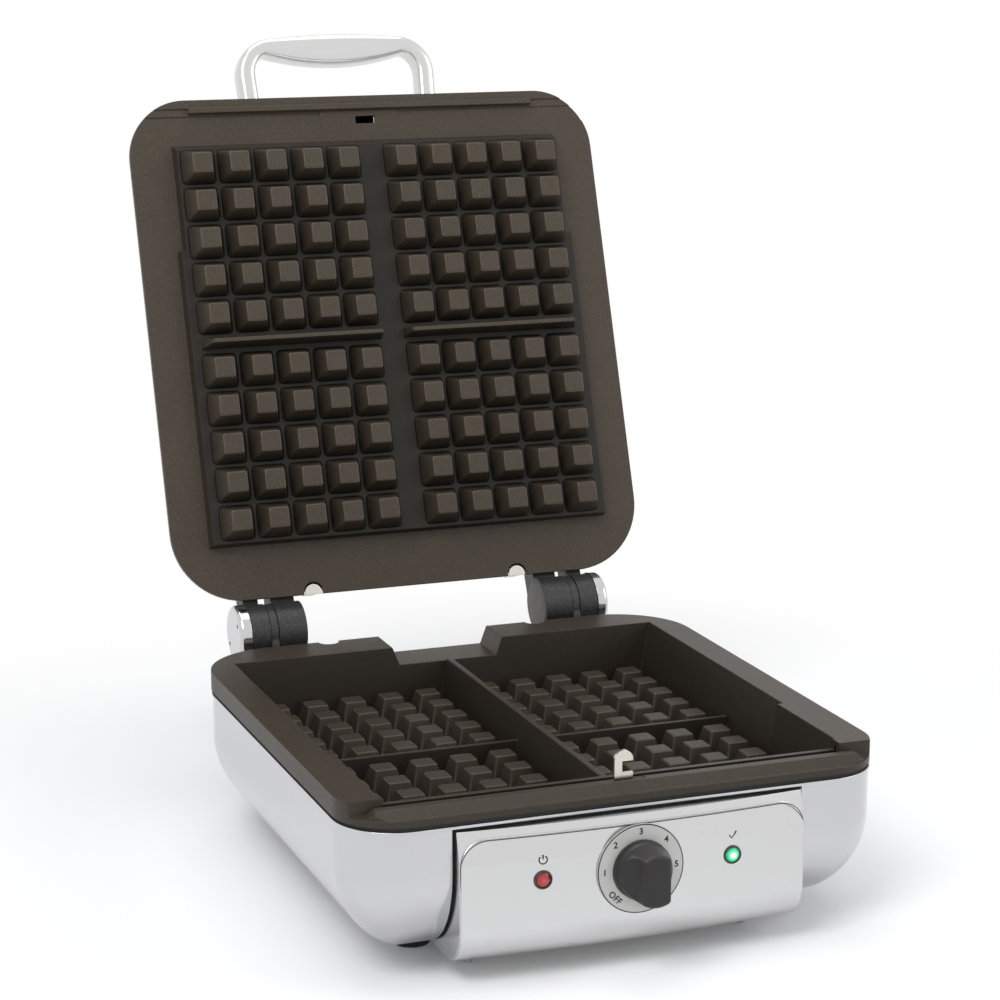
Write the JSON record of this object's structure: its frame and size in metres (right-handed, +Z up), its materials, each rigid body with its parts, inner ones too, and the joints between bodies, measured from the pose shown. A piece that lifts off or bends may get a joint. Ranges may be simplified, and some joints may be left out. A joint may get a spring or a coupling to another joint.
{
  "type": "waffle maker",
  "caption": "Hinged waffle maker with deep square-grid baking plates, a polished body, a bow-shaped lid handle, and a front panel with a dial and signal lamps.",
  "frame": {"origin": "on the table plane, under the middle of the box around the open appliance", "axes": "+Z up, +Y to the back with the hinge, +X to the right seen from the front, and the dial faces -Y"},
  "size_m": [0.2796, 0.4997, 0.4138],
  "materials": {
    "polished_steel": "polished sheet steel",
    "panel_steel": "satin-polished panel",
    "plate_coating": "dark non-stick coating with a fine speckle",
    "black_plastic": "matt black",
    "black_metal": "satin black",
    "black_rubber": "matt",
    "knob_plastic": "dark grey, matt",
    "dial_print": "warm light grey",
    "zinc_steel": "zinc plated",
    "steel_sheet": "bare sheet",
    "spring_steel": "bright spring steel",
    "heater_sheath": "heat-browned tube",
    "ceramic": "glazed ceramic",
    "lamp_red": "clear red lens",
    "lamp_green": "clear green lens, lit",
    "white_plastic": "white"
  },
  "bodies": {
    "base": {"base_housing": "polished_steel", "base_pan": "black_metal", "rubber_feet": "black_rubber", "base_screws": "zinc_steel", "front_fascia": "panel_steel", "control_panel": "panel_steel", "front_studs": "zinc_steel", "dial_plate": "dial_print", "thermostat": "ceramic", "lamp_bezels": "polished_steel", "power_lens": "lamp_red", "ready_lens": "lamp_green", "lamp_holders": "white_plastic", "rim_gasket": "black_rubber", "lower_plate": "plate_coating", "lower_heater": "heater_sheath", "lower_reflector": "steel_sheet", "lower_clips": "spring_steel", "latch_hook": "spring_steel", "hinge_bracket_left": "black_metal", "hinge_bracket_right": "black_metal", "terminal_block": "ceramic", "cord_inlet": "black_plastic"},
    "lid": {"lid_cover": "polished_steel", "upper_plate": "plate_coating", "upper_heater": "heater_sheath", "upper_reflector": "steel_sheet", "upper_clips": "spring_steel", "hinge_arm_left": "black_metal", "hinge_arm_right": "black_metal", "hinge_cap_left": "polished_steel", "hinge_cap_right": "polished_steel", "hinge_pin_left": "zinc_steel", "hinge_pin_right": "zinc_steel", "handle": "polished_steel", "handle_screws": "zinc_steel"},
    "knob": {"knob": "knob_plastic", "thermostat_shaft": "zinc_steel"},
    "catch": {"lid_catch": "spring_steel"}
  },
  "joints": [
    {"name": "lid_hinge", "type": "hinge", "parent": "base", "child": "lid", "pos_m": [0, 0.08624, 0.0943], "axis": [1, 0, 0], "range_deg": [0, 109.5]},
    {"name": "knob_turn", "type": "hinge", "parent": "base", "child": "knob", "pos_m": [0, -0.22986, 0.0516], "axis": [0, 1, 0], "range_deg": [-135, 90]},
    {"name": "lid_lock_slide", "type": "slide", "parent": "lid", "child": "catch", "axis": [-1, 0, 0], "range_m": [0, 0.006]}
  ]
}
